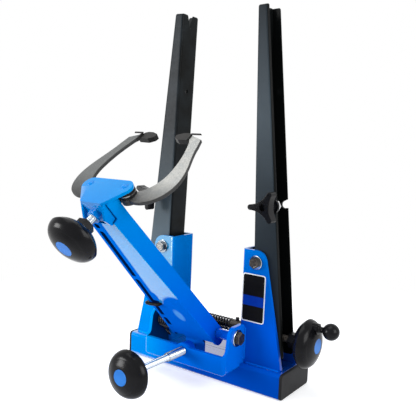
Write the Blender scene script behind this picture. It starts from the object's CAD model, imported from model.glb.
import math

import bmesh
import bpy
from mathutils import Matrix, Vector


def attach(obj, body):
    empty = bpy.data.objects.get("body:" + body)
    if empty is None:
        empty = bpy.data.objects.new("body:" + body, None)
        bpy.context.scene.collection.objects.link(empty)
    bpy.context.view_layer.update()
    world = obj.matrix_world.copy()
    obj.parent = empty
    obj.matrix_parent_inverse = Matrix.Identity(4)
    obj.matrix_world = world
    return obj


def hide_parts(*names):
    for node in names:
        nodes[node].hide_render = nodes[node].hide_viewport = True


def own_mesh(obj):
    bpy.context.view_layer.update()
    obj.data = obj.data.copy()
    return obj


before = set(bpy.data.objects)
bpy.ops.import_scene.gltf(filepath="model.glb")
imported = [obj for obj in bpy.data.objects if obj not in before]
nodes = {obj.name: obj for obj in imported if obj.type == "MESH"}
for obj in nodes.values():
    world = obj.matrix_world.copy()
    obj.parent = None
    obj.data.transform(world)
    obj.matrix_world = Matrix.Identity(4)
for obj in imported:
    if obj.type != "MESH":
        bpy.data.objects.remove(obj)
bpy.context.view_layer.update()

# The looks of a bench-top bicycle wheel truing stand. The solids come from the frame. This script gives
# them their finishes and adds what they leave out: threads, wire springs, weld beads, small bolts and a bare
# label. X runs to the stand's right, Y to the back and Z up. Places and lengths are in millimetres, and MM
# turns them into metres where a mesh or a shader is made. The camera, the lamps and the floor are in metres.

MM = 0.001

RIGHT, LEFT = (1, 0, 0), (-1, 0, 0)
FRONT, BACK = (0, -1, 0), (0, 1, 0)
UP = (0, 0, 1)

# ---------------------------------------------------------------- places on the stand
PIVOT_X, PIVOT_Z = 66.6, 143.5
SCREW_Z = 60.0
RADIAL_Z = 38.5
BRACKET_FACE = 20.1
EAR_FACE = 56.5

HINGE_Y, HINGE_Z = -36.0, 60.0
HINGE = (0.0, HINGE_Y, HINGE_Z)
ARM_RISE = math.radians(44.8)
ARM_ALONG = Vector((0, -math.cos(ARM_RISE), math.sin(ARM_RISE)))
ARM_OUT = Vector((0, math.sin(ARM_RISE), math.cos(ARM_RISE)))

HEAD = Vector((0.0, -182.5, 230.4))
HEAD_TILT = math.radians(36.0)
HEAD_T = Vector((0.0, math.cos(HEAD_TILT), math.sin(HEAD_TILT)))
HEAD_N = Vector((0.0, -math.sin(HEAD_TILT), math.cos(HEAD_TILT)))


def head_point(x, t, n):
    """A place in the head's own axes: across it, along its plate and off its plate."""
    return HEAD + Vector((x, 0, 0)) + HEAD_T * t + HEAD_N * n


def arm_point(x, s, c):
    """A place in the arm's own axes: across it, along it from the hinge and out of its back."""
    return Vector((x, HINGE_Y, HINGE_Z)) + ARM_ALONG * s + ARM_OUT * c


# ---------------------------------------------------------------- camera
CAMERA_PLACE = Vector((0.38262, -0.5623, 0.27448))
CAMERA_RIGHT = Vector((0.8132, 0.5806, 0.0392))
CAMERA_FORWARD = Vector((-0.5734, 0.8110, -0.1158))
SENSOR_WIDTH, FOCAL_LENGTH = 36.0, 50.36
NEAREST_SEEN, FARTHEST_SEEN = 0.01, 50.0


def add_camera():
    """The camera, where the photograph was taken from."""
    data = bpy.data.cameras.new("camera")
    camera = bpy.data.objects.new("camera", data)
    bpy.context.collection.objects.link(camera)
    forward = CAMERA_FORWARD.normalized()
    up = CAMERA_RIGHT.cross(forward).normalized()
    side = forward.cross(up).normalized()
    turn = Matrix((side, up, -forward)).transposed()
    camera.matrix_world = Matrix.Translation(CAMERA_PLACE) @ turn.to_4x4()
    data.sensor_width = SENSOR_WIDTH
    data.lens = FOCAL_LENGTH
    data.clip_start = NEAREST_SEEN
    data.clip_end = FARTHEST_SEEN
    bpy.context.scene.camera = camera


add_camera()


# ---------------------------------------------------------------- shader helpers
def new_material(name):
    """A new material, its node tree, its shader and its texture coordinates."""
    mat = bpy.data.materials.new(name)
    mat.use_nodes = True
    tree = mat.node_tree
    return mat, tree, tree.nodes["Principled BSDF"], tree.nodes.new("ShaderNodeTexCoord")


def noise(tree, coords, scale, detail=3.0, rough=0.5):
    """A noise fixed to the piece."""
    node = tree.nodes.new("ShaderNodeTexNoise")
    node.inputs["Scale"].default_value = scale
    node.inputs["Detail"].default_value = detail
    node.inputs["Roughness"].default_value = rough
    tree.links.new(coords.outputs["Object"], node.inputs["Vector"])
    return node.outputs["Fac"]


def spread(tree, value, low, high, to_low, to_high):
    """A value's stretch from low to high, mapped onto another stretch and held at its ends."""
    node = tree.nodes.new("ShaderNodeMapRange")
    node.inputs["From Min"].default_value = low
    node.inputs["From Max"].default_value = high
    node.inputs["To Min"].default_value = to_low
    node.inputs["To Max"].default_value = to_high
    tree.links.new(value, node.inputs["Value"])
    return node.outputs["Result"]


def from_noise(tree, value, to_low, to_high):
    """A noise, most of which lies between 0.3 and 0.7, mapped onto another stretch."""
    return spread(tree, value, 0.3, 0.7, to_low, to_high)


def rise(tree, value, start, end, most=1.0):
    """0 up to a start in millimetres, most from an end in millimetres onwards."""
    return spread(tree, value, start * MM, end * MM, 0.0, most)


def fall(tree, value, start, end, most=1.0):
    """Most up to a start in millimetres, 0 from an end in millimetres onwards."""
    return spread(tree, value, start * MM, end * MM, most, 0.0)


def mix_colour(tree, factor, first, second):
    """From the first colour at factor 0 to the second at 1; each is a tuple or a socket."""
    node = tree.nodes.new("ShaderNodeMix")
    node.data_type = "RGBA"
    tree.links.new(factor, node.inputs["Factor"])
    for socket, colour in ((node.inputs[6], first), (node.inputs[7], second)):
        if isinstance(colour, tuple):
            socket.default_value = (*colour, 1.0)
        else:
            tree.links.new(colour, socket)
    return node.outputs[2]


def bump(tree, shader, height, distance, strength=1.0):
    node = tree.nodes.new("ShaderNodeBump")
    node.inputs["Distance"].default_value = distance
    node.inputs["Strength"].default_value = strength
    tree.links.new(height, node.inputs["Height"])
    tree.links.new(node.outputs["Normal"], shader.inputs["Normal"])


def grazing(tree, start, end, most):
    """0 where a surface is seen square on, rising to most where it is seen at a low angle."""
    layer = tree.nodes.new("ShaderNodeLayerWeight")
    layer.inputs["Blend"].default_value = 0.5
    return spread(tree, layer.outputs["Facing"], start, end, 0.0, most)


def calc(tree, operation, a, b):
    """One sum on sockets or plain numbers."""
    node = tree.nodes.new("ShaderNodeMath")
    node.operation = operation
    for socket, value in ((node.inputs[0], a), (node.inputs[1], b)):
        if isinstance(value, (int, float)):
            socket.default_value = value
        else:
            tree.links.new(value, socket)
    return node.outputs[0]


def product(tree, a, b):
    return calc(tree, "MULTIPLY", a, b)


def larger(tree, a, b):
    return calc(tree, "MAXIMUM", a, b)


def inverse(tree, value):
    """1 where a value is 0, and 0 where it is 1."""
    return calc(tree, "SUBTRACT", 1.0, value)


def along(tree, coords, direction, origin=(0, 0, 0), output="Object"):
    """How far a point lies along a direction from an origin in millimetres, in metres."""
    node = tree.nodes.new("ShaderNodeVectorMath")
    node.operation = "DOT_PRODUCT"
    node.inputs[1].default_value = tuple(direction)
    tree.links.new(coords.outputs[output], node.inputs[0])
    return calc(tree, "SUBTRACT", node.outputs["Value"], Vector(direction).dot(Vector(origin) * MM))


def facing(tree, coords, direction, start, end):
    """1 on surfaces that face a direction; start and end are cosines."""
    return spread(tree, along(tree, coords, direction, output="Normal"), start, end, 0.0, 1.0)


def inside_oval(tree, u, v, u_mid, v_mid, u_half, v_half):
    """1 inside an oval given in millimetres, 0 outside it."""
    a = calc(tree, "DIVIDE", calc(tree, "SUBTRACT", u, u_mid * MM), u_half * MM)
    b = calc(tree, "DIVIDE", calc(tree, "SUBTRACT", v, v_mid * MM), v_half * MM)
    reach = calc(tree, "ADD", product(tree, a, a), product(tree, b, b))
    return spread(tree, reach, 0.9, 1.1, 1.0, 0.0)


RAMP_HEIGHT = 420.0


def by_height(tree, coords, stops):
    """A colour that changes with height; stops are (height, colour)."""
    ramp = tree.nodes.new("ShaderNodeValToRGB")
    tree.links.new(rise(tree, along(tree, coords, UP), 0.0, RAMP_HEIGHT), ramp.inputs["Fac"])
    band = ramp.color_ramp
    for k, (height, colour) in enumerate(stops):
        place = height / RAMP_HEIGHT
        stop = band.elements[k] if k < 2 else band.elements.new(place)
        stop.position = place
        stop.color = (*colour, 1.0)
    return ramp.outputs["Color"]


# ---------------------------------------------------------------- finishes
BLUE_STOPS = (
    (18, (0.0, 0.062, 0.43)),
    (75, (0.0, 0.088, 0.60)),
    (200, (0.0, 0.185, 0.60)),
    (228, (0.0, 0.235, 0.62)),
)
YOKE_STOPS = (
    (20, (0.0, 0.115, 0.60)),
    (75, (0.0, 0.125, 0.66)),
)
LEFT_UPRIGHT_STOPS = (
    (110, (0.125, 0.168, 0.200)),
    (185, (0.060, 0.080, 0.095)),
    (290, (0.008, 0.010, 0.012)),
    (420, (0.012, 0.015, 0.018)),
)
RIGHT_UPRIGHT_STOPS = (
    (60, (0.008, 0.011, 0.014)),
    (190, (0.020, 0.028, 0.036)),
    (300, (0.040, 0.055, 0.068)),
    (420, (0.014, 0.018, 0.022)),
)
LEFT_CYAN = (0.0, 0.26, 0.74)
YOKE_CYAN = (0.0, 0.40, 0.80)
DULL_BLUE = (0.0, 0.12, 0.62)
FIELD_BLUE = (0.0, 0.27, 0.64)
PATCH_BLUE = (0.16, 0.46, 0.80)
INSIDE_BLUE = (0.0, 0.008, 0.05)
EAR_BLUE = (0.0, 0.018, 0.09)
LIT_BLUE = (0.0, 0.30, 0.62)
UNLIT_BLACK = (0.0025, 0.003, 0.003)

# Stretches over which a tone comes in or fades. The first three run to the left from the stand's middle,
# the next to the front and up, and the last two along the head's plate and off it.
LEFT_SIDE = (10.0, 85.0)
LEFT_EAR = (52.0, 52.3)
LEFT_CALIPER = (0.0, 30.0)
OUTER_FLANGE = (14.0, 15.0)
BRACKET_TOP = (88.0, 125.0)
CALIPER_ROOT = (-6.0, 24.0)
RIVET_TOP = (-3.1, -2.9)

# How fine the enamel's noises are, and how deep its orange peel is in metres.
ENAMEL_CLOUD, ENAMEL_FINE, ENAMEL_PEEL = 45.0, 420.0, 700.0
PEEL_DEPTH, PEEL_STRENGTH = 0.00006, 0.6


def enamel(name, stops, rough=0.30, gloss=0.0, coat=1.0, peel=1.0, coat_ior=2.0, pattern=None,
           left_tone=None):
    """Baked enamel: a body colour with a faint orange peel, glossier at a low angle."""
    mat, tree, shader, coords = new_material(name)
    body = by_height(tree, coords, stops)
    if left_tone:
        left = rise(tree, along(tree, coords, LEFT), *LEFT_SIDE, 0.85)
        body = mix_colour(tree, left, body, left_tone)
    shine = grazing(tree, 0.42, 0.66, coat)
    if pattern:
        body, shine = pattern(tree, coords, body, shine)
    cloud = from_noise(tree, noise(tree, coords, ENAMEL_CLOUD), 0.0, 0.08)
    cloud_tone = tuple(0.7 * v for v in stops[0][1])
    tree.links.new(mix_colour(tree, cloud, body, cloud_tone), shader.inputs["Base Color"])
    tree.links.new(shine, shader.inputs["Coat Weight"])
    fine = noise(tree, coords, ENAMEL_FINE, 2.0)
    tree.links.new(from_noise(tree, fine, rough - 0.03, rough + 0.04), shader.inputs["Roughness"])
    shader.inputs["Specular IOR Level"].default_value = gloss
    shader.inputs["Coat IOR"].default_value = coat_ior
    shader.inputs["Coat Roughness"].default_value = 0.06
    bump(tree, shader, noise(tree, coords, ENAMEL_PEEL, 1.0), PEEL_DEPTH * peel, PEEL_STRENGTH)
    return mat


# The arm's half width at its foot, its least half width and its taper. Ovals are (x, along, half width, half
# length), and the patch is laid on in three. The rest are stretches: the field's edge in from the arm's left
# side, the foot's end along it, its front and inside out of its back, and its wall in from both sides.
ARM_FOOT_HALF, ARM_LEAST_HALF, ARM_TAPER = 30.6188, 16.8, 0.0691
ARM_FIELD_EDGE = (15.3, 15.9)
ARM_DIMPLE = (-11.0, 78.3, 5.6, 9.3)
ARM_BULGE = (20.0, 45.0, 30.0, 40.5)
ARM_FOOT_END = (64.5, 65.5)
ARM_FRONT = (-10.8, -10.0)
ARM_INSIDE = (-11.0, -10.6)
ARM_WALL = (1.0, 1.6)
ARM_PATCH = (6.5, 46.0)
ARM_PATCH_LAYERS = ((6.5, 12.0), (5.3, 10.0), (4.0, 8.0))


def arm_pattern(tree, coords, body, shine):
    """The arm's pressed face: a pale field beside the slots, dull folds, a light patch and a dark inside."""
    x = along(tree, coords, RIGHT)
    s = along(tree, coords, ARM_ALONG, HINGE)
    c = along(tree, coords, ARM_OUT, HINGE)
    tapered = calc(tree, "SUBTRACT", ARM_FOOT_HALF * MM, product(tree, s, ARM_TAPER))
    half = larger(tree, tapered, ARM_LEAST_HALF * MM)
    field = rise(tree, calc(tree, "ADD", x, half), *ARM_FIELD_EDGE)
    dimple = inside_oval(tree, x, s, *ARM_DIMPLE)
    bulge = inside_oval(tree, x, s, *ARM_BULGE)
    dull = larger(tree, larger(tree, dimple, bulge), fall(tree, s, *ARM_FOOT_END))
    field = product(tree, field, inverse(tree, dull))
    front = fall(tree, c, *ARM_FRONT)
    kept = inverse(tree, product(tree, front, inverse(tree, field)))
    shine = product(tree, shine, kept)
    body = mix_colour(tree, product(tree, inverse(tree, kept), 0.8), body, DULL_BLUE)
    pale = product(tree, front, field)
    body = mix_colour(tree, product(tree, pale, 0.9), body, FIELD_BLUE)
    for half_width, half_length in ARM_PATCH_LAYERS:
        patch = product(tree, front, inside_oval(tree, x, s, *ARM_PATCH, half_width, half_length))
        body = mix_colour(tree, product(tree, patch, 0.2), body, PATCH_BLUE)
    depth = rise(tree, c, *ARM_INSIDE)
    from_side = calc(tree, "SUBTRACT", half, calc(tree, "ABSOLUTE", x, 0.0))
    inner = product(tree, depth, rise(tree, from_side, *ARM_WALL, 0.93))
    body = mix_colour(tree, inner, body, INSIDE_BLUE)
    return body, product(tree, shine, inverse(tree, inner))


def upright_pattern(tree, coords, body, shine):
    """Black paint that catches the light on the front flanges only."""
    outer = rise(tree, along(tree, coords, FRONT), *OUTER_FLANGE)
    front = product(tree, facing(tree, coords, FRONT, 0.75, 0.95), outer)
    return mix_colour(tree, front, UNLIT_BLACK, body), shine


def yoke_pattern(tree, coords, body, shine):
    """The shaded inner face of the yoke's left ear."""
    left = rise(tree, along(tree, coords, LEFT), *LEFT_EAR)
    shaded = product(tree, facing(tree, coords, RIGHT, 0.5, 0.9), left)
    body = mix_colour(tree, product(tree, shaded, 0.93), body, EAR_BLUE)
    return body, product(tree, shine, inverse(tree, shaded))


def bracket_pattern(tree, coords, body, shine):
    """The left bracket's front plate, glossier towards its top."""
    upper = rise(tree, along(tree, coords, UP), *BRACKET_TOP)
    lit = product(tree, facing(tree, coords, FRONT, 0.85, 0.95), upper)
    return mix_colour(tree, lit, body, LIT_BLUE), larger(tree, shine, lit)


def steel(name, dark, light, rough, scale=900.0, metallic=1.0, pits=0.00003, edge=0.0):
    """Bare or plated steel with fine marks; edge is how much its gloss darkens at a low angle."""
    mat, tree, shader, coords = new_material(name)
    shader.inputs["Metallic"].default_value = metallic
    marks = noise(tree, coords, scale)
    tone = mix_colour(tree, from_noise(tree, marks, 0.0, 1.0), dark, light)
    if edge:
        tone = mix_colour(tree, grazing(tree, 0.2, 0.62, edge), tone, (0.01, 0.01, 0.012))
    tree.links.new(tone, shader.inputs["Base Color"])
    tree.links.new(from_noise(tree, marks, rough, rough + 0.1), shader.inputs["Roughness"])
    bump(tree, shader, marks, pits, 0.5)
    return mat


def plastic(name, dark, light, rough, grain, gloss=0.2):
    """Moulded plastic or a black coating, smooth or lightly grained."""
    mat, tree, shader, coords = new_material(name)
    cloud = from_noise(tree, noise(tree, coords, 60.0), 0.0, 1.0)
    tree.links.new(mix_colour(tree, cloud, dark, light), shader.inputs["Base Color"])
    fine = noise(tree, coords, 1500.0, 2.0)
    tree.links.new(from_noise(tree, fine, rough - 0.02, rough + 0.05), shader.inputs["Roughness"])
    shader.inputs["Specular IOR Level"].default_value = gloss
    bump(tree, shader, fine, grain, 0.5)
    return mat


def casting(name):
    """Sand-cast iron: broad faces bare grey, edges black, the left arm and both roots darker."""
    mat, tree, shader, coords = new_material(name)
    sand = noise(tree, coords, 1300.0, 4.0, 0.6)
    speckle = from_noise(tree, sand, 0.0, 1.0)
    stains = spread(tree, noise(tree, coords, 120.0, 2.0), 0.35, 0.7, 0.0, 0.35)
    grey = mix_colour(tree, speckle, (0.20, 0.20, 0.19), (0.62, 0.61, 0.57))
    grey = mix_colour(tree, stains, grey, (0.22, 0.25, 0.27))
    shaded = rise(tree, along(tree, coords, LEFT), *LEFT_CALIPER, 0.82)
    grey = mix_colour(tree, shaded, grey, (0.045, 0.05, 0.052))
    root = fall(tree, along(tree, coords, HEAD_T, HEAD), *CALIPER_ROOT, 0.85)
    grey = mix_colour(tree, root, grey, (0.02, 0.02, 0.02))
    black = mix_colour(tree, speckle, (0.012, 0.012, 0.012), (0.04, 0.04, 0.04))
    broad = facing(tree, coords, HEAD_N, 0.72, 0.9)
    tree.links.new(mix_colour(tree, broad, black, grey), shader.inputs["Base Color"])
    tree.links.new(from_noise(tree, sand, 0.42, 0.6), shader.inputs["Roughness"])
    shader.inputs["Specular IOR Level"].default_value = 0.3
    bump(tree, shader, sand, 0.00025, 0.8)
    return mat


def painted_rivet(name):
    """A steel pin whose riveted top is painted over with the head plate."""
    mat, tree, shader, coords = new_material(name)
    top = rise(tree, along(tree, coords, HEAD_N, HEAD), *RIVET_TOP)
    colour = mix_colour(tree, top, (0.05, 0.05, 0.05), (0.0, 0.20, 0.60))
    tree.links.new(colour, shader.inputs["Base Color"])
    tree.links.new(spread(tree, top, 0.0, 1.0, 0.9, 0.0), shader.inputs["Metallic"])
    fine = noise(tree, coords, ENAMEL_FINE, 2.0)
    tree.links.new(from_noise(tree, fine, 0.27, 0.34), shader.inputs["Roughness"])
    shader.inputs["Specular IOR Level"].default_value = 0.2
    bump(tree, shader, noise(tree, coords, ENAMEL_PEEL, 1.0), PEEL_DEPTH, PEEL_STRENGTH)
    return mat


BLUE = enamel("blue_enamel", BLUE_STOPS)
BASE_BLUE = enamel("base_enamel", BLUE_STOPS, coat_ior=5.0, left_tone=LEFT_CYAN)
ARM_BLUE = enamel("arm_enamel", BLUE_STOPS, pattern=arm_pattern)
LEFT_BLUE = enamel("left_bracket_enamel", BLUE_STOPS, coat_ior=2.8, pattern=bracket_pattern,
                   left_tone=LEFT_CYAN)
YOKE_BLUE = enamel("yoke_enamel", YOKE_STOPS, rough=0.28, pattern=yoke_pattern, left_tone=YOKE_CYAN)
BLACK_LEFT = enamel("left_upright_enamel", LEFT_UPRIGHT_STOPS, rough=0.36, gloss=0.07, coat=0.1, peel=0.7,
                    pattern=upright_pattern)
BLACK_RIGHT = enamel("right_upright_enamel", RIGHT_UPRIGHT_STOPS, rough=0.36, gloss=0.07, coat=0.1, peel=0.7,
                     pattern=upright_pattern)
CAST = casting("cast_grey")
ZINC = steel("zinc_steel", (0.55, 0.55, 0.56), (0.78, 0.78, 0.78), 0.18)
CHROME = steel("chrome_steel", (0.50, 0.58, 0.66), (0.66, 0.72, 0.78), 0.08, scale=1400.0, pits=0.00001,
               edge=0.95)
GREY = steel("grey_steel", (0.16, 0.16, 0.16), (0.34, 0.34, 0.34), 0.22)
DARK = steel("dark_steel", (0.03, 0.026, 0.022), (0.09, 0.08, 0.07), 0.32, scale=700.0, metallic=0.8)
SPRING = plastic("black_spring_wire", (0.003, 0.003, 0.003), (0.007, 0.007, 0.008), 0.12, 0.00001, 0.5)
TIP = plastic("tip_black", (0.006, 0.006, 0.006), (0.016, 0.015, 0.014), 0.35, 0.00004, 0.18)
BAND = plastic("label_blue", (0.0, 0.03, 0.33), (0.0, 0.04, 0.40), 0.35, 0.00001, 0.06)
KNOB = plastic("black_gloss_plastic", (0.003, 0.003, 0.004), (0.006, 0.006, 0.007), 0.20, 0.00001, 0.11)
CAP = plastic("black_cap_plastic", (0.006, 0.006, 0.007), (0.012, 0.012, 0.013), 0.5, 0.00006, 0.12)
DISC = plastic("inlay_plastic", (0.01, 0.13, 0.46), (0.02, 0.17, 0.56), 0.3, 0.00002, 0.15)
LABEL = plastic("label_black", (0.003, 0.003, 0.004), (0.006, 0.006, 0.007), 0.35, 0.00001, 0.06)
LABEL_EDGE = plastic("label_white", (0.78, 0.79, 0.80), (0.88, 0.89, 0.90), 0.4, 0.00001, 0.1)
RIVET = painted_rivet("painted_rivet")

FINISH_OF = {
    "base_tube": BASE_BLUE,
    "bracket_left": LEFT_BLUE,
    "bracket_right": BLUE,
    "yoke": YOKE_BLUE,
    "radial_boss": BLUE,
    "hinge_sleeve": BLUE,
    "caliper_arm": ARM_BLUE,
    "head_bracket": BLUE,
    "caliper_nut": BLUE,
    "upright_left": BLACK_LEFT,
    "upright_right": BLACK_RIGHT,
    "caliper_left": CAST,
    "caliper_right": CAST,
    "radial_screw": CHROME,
    "caliper_screw": CHROME,
    "lead_screw": CHROME,
    "spinner_handle": KNOB,
}
FINISH_OF_KIND = (
    ("caliper_ring", GREY),
    ("caliper_rivet", RIVET),
    ("caliper_tip", TIP),
    ("tip_pin", TIP),
    ("trunnion", DARK),
    ("hinge_bolt", DARK),
    ("pivot_bolt", DARK),
    ("spring", SPRING),
    ("end_cap", CAP),
    ("spacers", CAP),
    ("disc", DISC),
    ("knob", KNOB),
)


def finish_of(name):
    """The finish of a solid: by its whole name, then by the first kind in its name, else zinc."""
    if name in FINISH_OF:
        return FINISH_OF[name]
    for kind, finish in FINISH_OF_KIND:
        if kind in name:
            return finish
    return ZINC


for name, piece in nodes.items():
    piece.data.materials.clear()
    piece.data.materials.append(finish_of(name))


# ---------------------------------------------------------------- mesh helpers
def add_piece(name, verts, faces, material, body, smooth=True):
    """A mesh from points in millimetres, riding on a body."""
    mesh = bpy.data.meshes.new(name)
    mesh.from_pydata([tuple(Vector(v) * MM) for v in verts], [], faces)
    cleaned = bmesh.new()
    cleaned.from_mesh(mesh)
    bmesh.ops.remove_doubles(cleaned, verts=cleaned.verts, dist=1e-7)
    bmesh.ops.recalc_face_normals(cleaned, faces=cleaned.faces)
    cleaned.to_mesh(mesh)
    cleaned.free()
    for face in mesh.polygons:
        face.use_smooth = smooth
    piece = bpy.data.objects.new(name, mesh)
    bpy.context.collection.objects.link(piece)
    mesh.materials.append(material)
    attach(piece, body)
    return piece


def basis(axis):
    """An axis and two directions square to it."""
    axis = Vector(axis).normalized()
    side = axis.cross(Vector(UP))
    if side.length < 1e-3:
        side = axis.cross(Vector(BACK))
    side.normalize()
    return axis, side, axis.cross(side).normalized()


def on_circle(centre, side, other, radius, angle):
    return centre + side * (radius * math.cos(angle)) + other * (radius * math.sin(angle))


def circle(centre, side, other, radius, segments, start=0.0):
    """Points evenly round a centre, the first at the start angle."""
    step = 2 * math.pi / segments
    return [on_circle(centre, side, other, radius, start + step * k) for k in range(segments)]


def joining_faces(rows, segments, first=0):
    """Quads from each of a run of circles to the next one; first is the run's first point."""
    faces = []
    for i in range(rows):
        for k in range(segments):
            a = first + i * segments + k
            b = first + i * segments + (k + 1) % segments
            faces.append((a, b, b + segments, a + segments))
    return faces


def end_faces(rows, segments):
    """The faces that close both ends of a run of circles."""
    return [tuple(reversed(range(segments))), tuple(range(rows * segments, (rows + 1) * segments))]


def threaded_rod(name, start, axis, radius, length, pitch, depth, material, body, segments):
    """A rod with a vee thread wound round it, fading out at both closed ends."""
    axis, side, other = basis(axis)
    start = Vector(start)
    core = radius - depth
    rows = max(2, int(length / pitch * 6))
    verts = []
    for i in range(rows + 1):
        way = length * i / rows
        fade = min(1.0, way / pitch, (length - way) / pitch)
        for k in range(segments):
            phase = (way / pitch - k / segments) % 1.0
            crest = core + depth * (1 - abs(2 * phase - 1))
            r = core * (1 - fade) + crest * fade
            verts.append(on_circle(start + axis * way, side, other, r, 2 * math.pi * k / segments))
    faces = joining_faces(rows, segments) + end_faces(rows, segments)
    return add_piece(name, verts, faces, material, body)


def swept(name, path, radius, material, body, segments):
    """A round wire along a list of points, its section carried along without twist."""
    points = [Vector(p) for p in path]
    rows = len(points) - 1
    normal = None
    verts = []
    for i, point in enumerate(points):
        tangent = (points[min(i + 1, rows)] - points[max(i - 1, 0)]).normalized()
        if normal is None:
            normal = basis(tangent)[1]
        normal = (normal - tangent * normal.dot(tangent)).normalized()
        verts += circle(point, normal, tangent.cross(normal), radius, segments)
    faces = joining_faces(rows, segments) + end_faces(rows, segments)
    return add_piece(name, verts, faces, material, body)


def helix(start, axis, radius, length, turns, steps, phase=0.0):
    """The middle line of a coil, with a number of steps to each turn."""
    axis, side, other = basis(axis)
    points = []
    for k in range(turns * steps + 1):
        centre = Vector(start) + axis * (length * k / (turns * steps))
        points.append(on_circle(centre, side, other, radius, 2 * math.pi * k / steps + phase))
    return points


SPUN_SEGMENTS = 40


def spun_points(start, axis, profile):
    """A profile of (along, radius) pairs spun round an axis."""
    axis, side, other = basis(axis)
    verts = []
    for way, radius in profile:
        verts += circle(Vector(start) + axis * way, side, other, radius, SPUN_SEGMENTS)
    return verts


def spun_rod(name, start, axis, profile, material, body):
    """A spun profile, closed at both ends."""
    rows = len(profile) - 1
    faces = joining_faces(rows, SPUN_SEGMENTS) + end_faces(rows, SPUN_SEGMENTS)
    return add_piece(name, spun_points(start, axis, profile), faces, material, body)


def spun_ring(name, start, axis, profile, material, body):
    """A spun profile whose last point joins its first one, with sharp edges."""
    rows = len(profile) - 1
    faces = joining_faces(rows, SPUN_SEGMENTS)
    for k in range(SPUN_SEGMENTS):
        m = (k + 1) % SPUN_SEGMENTS
        faces.append((rows * SPUN_SEGMENTS + k, rows * SPUN_SEGMENTS + m, m, k))
    return add_piece(name, spun_points(start, axis, profile), faces, material, body, smooth=False)


WASHER_THICKNESS = 1.6
WASHER_ROUNDING = 0.35


def washer_profile(bore, radius):
    """A washer's section, its outer top edge bevelled."""
    return [(0, bore), (0, radius), (WASHER_THICKNESS - WASHER_ROUNDING, radius),
            (WASHER_THICKNESS, radius - WASHER_ROUNDING), (WASHER_THICKNESS, bore)]


# A bolt head's rings of corners, as shares of its height and of its width; the last one dishes its top.
HEAD_SHAPE = ((0.0, 1.0), (0.8, 1.0), (1.0, 0.86), (0.93, 0.66))
SHANK_SEGMENTS = 24


def hex_bolt(name, seat, axis, across, height, shank_radius, shank, material, body):
    """A bolt: a chamfered hexagon on its seat, with its shank running back from it."""
    axis, side, other = basis(axis)
    seat = Vector(seat)
    corner = across / math.sqrt(3)
    verts = []
    for level, width in HEAD_SHAPE:
        verts += circle(seat + axis * (height * level), side, other, corner * width, 6, math.pi / 6)
    faces = joining_faces(3, 6) + end_faces(3, 6)
    base = len(verts)
    for way in (0.0, -shank):
        verts += circle(seat + axis * way, side, other, shank_radius, SHANK_SEGMENTS)
    faces += joining_faces(1, SHANK_SEGMENTS, base)
    for face in end_faces(1, SHANK_SEGMENTS):
        faces.append(tuple(base + k for k in face))
    return add_piece(name, verts, faces, material, body, smooth=False)


# ---------------------------------------------------------------- the bare label on the right bracket
LABEL_X = 65.2
LABEL_Z, LABEL_HALF_X, LABEL_HALF_Z = 103.3, 14.6, 27.2
LABEL_CORNER, FIELD_CORNER = 3.2, 2.2
BORDER_WIDTH = 1.2
BORDER_STAND, FIELD_STAND = 0.22, 0.17
BAND_Z, BAND_HALF_X, BAND_HALF_Z = 100.2, 13.3, 5.6
BAND_FROM, BAND_TO = 0.10, 0.20


def plate_outline(half_x, half_z, corner):
    """A rectangle with round corners."""
    steps = 6
    points = []
    for cx, cz, start in ((1, 1, 0), (-1, 1, 90), (-1, -1, 180), (1, -1, 270)):
        for i in range(steps + 1):
            angle = math.radians(start + 90 * i / steps)
            points.append((cx * (half_x - corner) + corner * math.cos(angle),
                           cz * (half_z - corner) + corner * math.sin(angle)))
    return points


def add_label():
    """A black field in a white border, with a blue band across it."""
    centre = Vector((LABEL_X, -BRACKET_FACE, LABEL_Z))
    outer = plate_outline(LABEL_HALF_X, LABEL_HALF_Z, LABEL_CORNER)
    inner = plate_outline(LABEL_HALF_X - BORDER_WIDTH, LABEL_HALF_Z - BORDER_WIDTH, FIELD_CORNER)
    count = len(outer)
    verts, faces = [], []
    for outline, y in ((outer, 0.0), (outer, -BORDER_STAND), (inner, -BORDER_STAND), (inner, 0.0)):
        verts += [centre + Vector((x, y, z)) for x, z in outline]
    for r in range(4):
        for k in range(count):
            here, there = r * count, ((r + 1) % 4) * count
            m = (k + 1) % count
            faces.append((here + k, here + m, there + m, there + k))
    add_piece("label_border", verts, faces, LABEL_EDGE, "stand", smooth=False)

    verts = []
    for y in (0.0, -FIELD_STAND):
        verts += [centre + Vector((x, y, z)) for x, z in inner]
    faces = [tuple(range(count)), tuple(reversed(range(count, 2 * count)))]
    add_piece("label_field", verts, faces + joining_faces(1, count), LABEL, "stand", smooth=False)

    centre = Vector((LABEL_X, -BRACKET_FACE, BAND_Z))
    verts = []
    for y in (-BAND_FROM, -BAND_TO):
        for side, level in ((-1, -1), (1, -1), (1, 1), (-1, 1)):
            verts.append(centre + Vector((side * BAND_HALF_X, y, level * BAND_HALF_Z)))
    faces = [(0, 1, 2, 3), (7, 6, 5, 4), (0, 4, 5, 1), (1, 5, 6, 2), (2, 6, 7, 3), (3, 7, 4, 0)]
    add_piece("label_band", verts, faces, BAND, "stand", smooth=False)


add_label()

# ---------------------------------------------------------------- washers and bolts
PIVOT_SHANK_RADIUS, HINGE_SHANK_RADIUS = 4.9, 4.0
FRONT_WASHER_RADIUS, HINGE_WASHER_RADIUS = 7.8, 9.2
BACK_WASHER_BORE, BACK_WASHER_RADIUS = 5.0, 10.5

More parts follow.
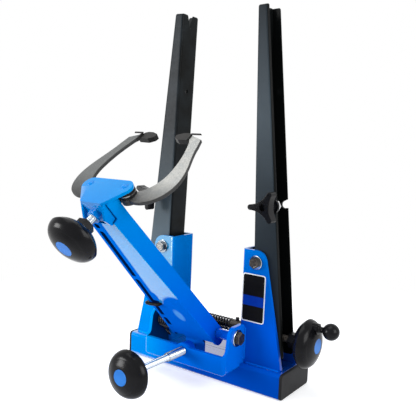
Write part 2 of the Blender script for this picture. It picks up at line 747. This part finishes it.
for side_name, sign, head_metal in (("right", 1, DARK), ("left", -1, GREY)):
    front_seat = (sign * PIVOT_X, -BRACKET_FACE, PIVOT_Z)
    back_seat = (sign * PIVOT_X, BRACKET_FACE, PIVOT_Z)
    head_seat = (sign * PIVOT_X, -BRACKET_FACE - WASHER_THICKNESS, PIVOT_Z)
    front_washer = spun_ring("pivot_washer_front_" + side_name, front_seat, FRONT,
                             washer_profile(PIVOT_SHANK_RADIUS, FRONT_WASHER_RADIUS), CHROME, "stand")
    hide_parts("pivot_washers_" + side_name)
    spun_ring("pivot_washer_back_" + side_name, back_seat, BACK,
              washer_profile(BACK_WASHER_BORE, BACK_WASHER_RADIUS), ZINC, "stand")
    bolt = hex_bolt("pivot_bolt_small_" + side_name, head_seat, FRONT, across=10.6, height=5.0,
                    shank_radius=PIVOT_SHANK_RADIUS, shank=51.9, material=head_metal, body="stand")
    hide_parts("pivot_bolt_" + side_name)

spun_ring("hinge_washer", (EAR_FACE, HINGE_Y, HINGE_Z), RIGHT,
          washer_profile(HINGE_SHANK_RADIUS, HINGE_WASHER_RADIUS), CHROME, "stand")
hinge_bolt = hex_bolt("hinge_bolt_small", (EAR_FACE + WASHER_THICKNESS, HINGE_Y, HINGE_Z), RIGHT, across=13.0,
                      height=4.6, shank_radius=HINGE_SHANK_RADIUS, shank=122.6, material=DARK, body="stand")
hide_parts("hinge_bolt")

# ---------------------------------------------------------------- threads
RADIAL_SHANK_Y, RADIAL_THREAD_Y = -148, -88
RADIAL_SHANK_PROFILE = ((0, 3.0), (0.6, 3.6), (59.2, 3.6), (59.6, 4.4), (60.4, 4.6))
CALIPER_THREAD_T, CALIPER_SCREW_N = -60, -13.7
SCREW_MIDDLE = (0, 0, SCREW_Z)

thread = threaded_rod("radial_thread", (0, RADIAL_THREAD_Y, RADIAL_Z), BACK, radius=5.0, length=41.9,
                      pitch=1.5, depth=0.6, material=CHROME, body="radial_screw", segments=32)
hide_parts("radial_screw")
spun_rod("radial_shank", (0, RADIAL_SHANK_Y, RADIAL_Z), BACK, RADIAL_SHANK_PROFILE, CHROME, "radial_screw")
caliper_thread = threaded_rod("caliper_thread", head_point(0, CALIPER_THREAD_T, CALIPER_SCREW_N), HEAD_T,
                              radius=4.0, length=46.55, pitch=1.25, depth=0.5, material=CHROME,
                              body="caliper_screw", segments=28)
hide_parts("caliper_screw")
right_thread = threaded_rod("lead_thread_right", SCREW_MIDDLE, RIGHT, radius=4.0, length=124.0,
                            pitch=2.0, depth=0.6, material=DARK, body="lead_screw", segments=20)
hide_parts("lead_screw")
threaded_rod("lead_thread_left", SCREW_MIDDLE, LEFT, radius=4.0, length=92.0,
             pitch=2.0, depth=0.6, material=DARK, body="lead_screw", segments=20)

# ---------------------------------------------------------------- springs
WIRE, LEG_WIRE, THIN_WIRE = 1.15, 1.9, 0.42
LEAD_COIL_X, RETURN_COIL_X = -25.6, -51.0
CALIPER_COIL_PLACE = (-6.4, 4.0, -18.4)
REAR_LEG = ((-51.1, -13.0, 30.2), (-51.1, -15.0, 31.6), (-51.1, -34.0, 50.4))
# The front leg's places are in the arm's own axes: up beside its left flange, over it and into its face.
FRONT_LEG = (
    (-33.4, -2.0, 8.0),
    (-33.3, 8.0, 7.4),
    (-32.2, 45.0, -2.0),
    (-31.2, 57.0, -8.5),
    (-30.4, 61.0, -12.4),
    (-28.4, 62.4, -13.6),
    (-24.0, 62.9, -13.8),
    (-17.0, 63.5, -13.6),
    (-10.6, 64.4, -13.0),
    (-8.6, 64.9, -11.4),
    (-7.9, 65.0, -9.0),
    (-7.8, 65.0, -6.0),
)

lead_path = helix((LEAD_COIL_X, 0, SCREW_Z), RIGHT, radius=6.4, length=51.2, turns=13, steps=20)
lead_coil = swept("lead_coil", lead_path, WIRE, SPRING, "stand", 8)
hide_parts("lead_spring")
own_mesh(lead_coil)

return_path = helix((RETURN_COIL_X, HINGE_Y, HINGE_Z), RIGHT, radius=8.0, length=17.4, turns=6, steps=20,
                    phase=math.pi / 2)
return_coil = swept("return_coil", return_path, WIRE, SPRING, "stand", 8)
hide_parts("return_spring")
swept("return_rear_leg", REAR_LEG, WIRE, SPRING, "stand", 8)
swept("return_front_leg", [arm_point(*place) for place in FRONT_LEG], LEG_WIRE, LABEL, "arm", 10)

caliper_path = helix(head_point(*CALIPER_COIL_PLACE), RIGHT, radius=1.75, length=12.8, turns=9, steps=14)
caliper_coil = swept("caliper_coil", caliper_path, THIN_WIRE, SPRING, "plunger", 7)
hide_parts("caliper_spring")

# ---------------------------------------------------------------- weld beads
WELD_ROW = 0.45
WELD_RIPPLE, RIPPLE_DEPTH = 2.2, 0.18
WELD_END, END_THICKNESS = 1.5, 0.25
WELD_SEGMENTS = 10
EAR_BEAD, FOOT_BEAD = 1.3, 1.2
EAR_SEAM_X, EAR_SEAM_Y = 56.7, -20.3
EAR_SEAM_LOW, EAR_SEAM_TOP = 31.0, 68.0
FOOT_SEAM_Y, FOOT_SEAM_Z = -20.2, 28.6
FOOT_SEAM_IN, FOOT_SEAM_OUT = 59.0, 101.0


def weld(name, start, end, radius):
    """A short run of weld with evenly spaced ripples, thin at both ends."""
    start, end = Vector(start), Vector(end)
    axis, side, other = basis(end - start)
    length = (end - start).length
    rows = max(6, int(length / WELD_ROW))
    verts = []
    for i in range(rows + 1):
        way = length * i / rows
        swell = 1 - RIPPLE_DEPTH + RIPPLE_DEPTH * abs(math.sin(math.pi * way / WELD_RIPPLE))
        taper = min(1.0, END_THICKNESS + min(way, length - way) / WELD_END)
        verts += circle(start + axis * way, side, other, radius * swell * taper, WELD_SEGMENTS)
    faces = joining_faces(rows, WELD_SEGMENTS) + end_faces(rows, WELD_SEGMENTS)
    return add_piece(name, verts, faces, YOKE_BLUE, "stand")


for side_name, sign in (("right", 1), ("left", -1)):
    weld("weld_ear_" + side_name, (sign * EAR_SEAM_X, EAR_SEAM_Y, EAR_SEAM_LOW),
         (sign * EAR_SEAM_X, EAR_SEAM_Y, EAR_SEAM_TOP), EAR_BEAD)
    weld("weld_foot_" + side_name, (sign * FOOT_SEAM_IN, FOOT_SEAM_Y, FOOT_SEAM_Z),
         (sign * FOOT_SEAM_OUT, FOOT_SEAM_Y, FOOT_SEAM_Z), FOOT_BEAD)

# ---------------------------------------------------------------- softened edges on the tube and sheet
SOFTENED = ("base_tube", "bracket_right", "bracket_left", "yoke", "head_bracket",
            "upright_right", "upright_left")
EDGE_WIDTH = 0.5
EDGE_ANGLE = math.radians(38.0)
MERGE_DISTANCE = 0.005


def soften(piece):
    """A narrow bevel along the sharp edges of a solid."""
    joined = piece.modifiers.new("weld", "WELD")
    joined.merge_threshold = MERGE_DISTANCE * MM
    bevel = piece.modifiers.new("bevel", "BEVEL")
    bevel.width = EDGE_WIDTH * MM
    bevel.segments = 2
    bevel.limit_method = "ANGLE"
    bevel.angle_limit = EDGE_ANGLE
    bevel.harden_normals = True


for name in SOFTENED:
    soften(nodes[name])

# ---------------------------------------------------------------- lamps, sky and floor
AIM = (0.0, -0.05, 0.18)
# Each lamp's name, place, width and power.
LAMPS = (
    ("key", (-1.28, -1.5, 0.42), 0.75, 30.0),
    ("top", (-0.2, -0.3, 1.6), 1.2, 12.0),
    ("side", (1.5, -0.2, 0.7), 0.9, 16.0),
)
SKY_COLOUR, SKY_STRENGTH = (0.92, 0.96, 1.0, 1.0), 0.5
PAPER_COLOUR = (0.86, 0.86, 0.87, 1.0)
FLOOR_REACH, FLOOR_DROP = 8.0, 0.0003
FLOOR_LIFT = 0.43
SHADED_REACH, WHITE_REACH = 0.28, 0.55


def area_light(name, place, size, power):
    """A soft box pointed at the stand."""
    data = bpy.data.lights.new(name, "AREA")
    data.energy = power
    data.size = size
    lamp = bpy.data.objects.new(name, data)
    bpy.context.collection.objects.link(lamp)
    lamp.location = place
    lamp.rotation_mode = "QUATERNION"
    lamp.rotation_quaternion = (Vector(AIM) - Vector(place)).to_track_quat("-Z", "Y")


def seen_directly(tree):
    """1 on rays from the camera, in reflections and through glass, 0 on rays that only light."""
    paths = tree.nodes.new("ShaderNodeLightPath")
    value = paths.outputs["Is Camera Ray"]
    for name in ("Is Glossy Ray", "Is Transmission Ray"):
        value = larger(tree, value, paths.outputs[name])
    return value


def choose(tree, factor, first, second):
    """The first shader at factor 0, the second at 1."""
    node = tree.nodes.new("ShaderNodeMixShader")
    tree.links.new(factor, node.inputs[0])
    tree.links.new(first, node.inputs[1])
    tree.links.new(second, node.inputs[2])
    return node.outputs[0]


def plain_shader(tree, kind, strength=None, colour=None):
    """A background, emission or diffuse shader with a set strength or colour."""
    node = tree.nodes.new(kind)
    if strength is not None:
        node.inputs["Strength"].default_value = strength
    if colour is not None:
        node.inputs["Color"].default_value = colour
    return node.outputs[0]


def add_sky():
    """A soft pale light from all sides that is seen as plain white."""
    world = bpy.data.worlds.new("world")
    bpy.context.scene.world = world
    world.use_nodes = True
    tree = world.node_tree
    tree.nodes.clear()
    output = tree.nodes.new("ShaderNodeOutputWorld")
    soft = plain_shader(tree, "ShaderNodeBackground", SKY_STRENGTH, SKY_COLOUR)
    white = plain_shader(tree, "ShaderNodeBackground", 1.0, (1.0, 1.0, 1.0, 1.0))
    tree.links.new(choose(tree, seen_directly(tree), soft, white), output.inputs["Surface"])


def floor_material():
    """White paper that keeps the stand's shadow and is seen as plain white farther out."""
    mat = bpy.data.materials.new("floor")
    mat.use_nodes = True
    tree = mat.node_tree
    tree.nodes.clear()
    output = tree.nodes.new("ShaderNodeOutputMaterial")
    paper = plain_shader(tree, "ShaderNodeBsdfDiffuse", colour=PAPER_COLOUR)
    lifted = tree.nodes.new("ShaderNodeAddShader")
    tree.links.new(paper, lifted.inputs[0])
    tree.links.new(plain_shader(tree, "ShaderNodeEmission", FLOOR_LIFT), lifted.inputs[1])
    white = plain_shader(tree, "ShaderNodeEmission", 1.0)
    coords = tree.nodes.new("ShaderNodeTexCoord")
    reach = tree.nodes.new("ShaderNodeVectorMath")
    reach.operation = "LENGTH"
    tree.links.new(coords.outputs["Object"], reach.inputs[0])
    far = spread(tree, reach.outputs["Value"], SHADED_REACH, WHITE_REACH, 0.0, 1.0)
    seen = choose(tree, far, lifted.outputs[0], white)
    tree.links.new(choose(tree, seen_directly(tree), paper, seen), output.inputs["Surface"])
    return mat


def add_floor():
    """The floor, a hair under the stand's feet."""
    mesh = bpy.data.meshes.new("floor")
    corners = [(-1, -1), (1, -1), (1, 1), (-1, 1)]
    mesh.from_pydata([(x * FLOOR_REACH, y * FLOOR_REACH, 0) for x, y in corners], [], [(0, 1, 2, 3)])
    mesh.materials.append(floor_material())
    floor = bpy.data.objects.new("floor", mesh)
    bpy.context.collection.objects.link(floor)
    floor.location = (0, 0, -FLOOR_DROP)


add_sky()
for name, place, size, power in LAMPS:
    area_light(name, place, size, power)
add_floor()

bpy.context.scene.view_settings.view_transform = "Standard"
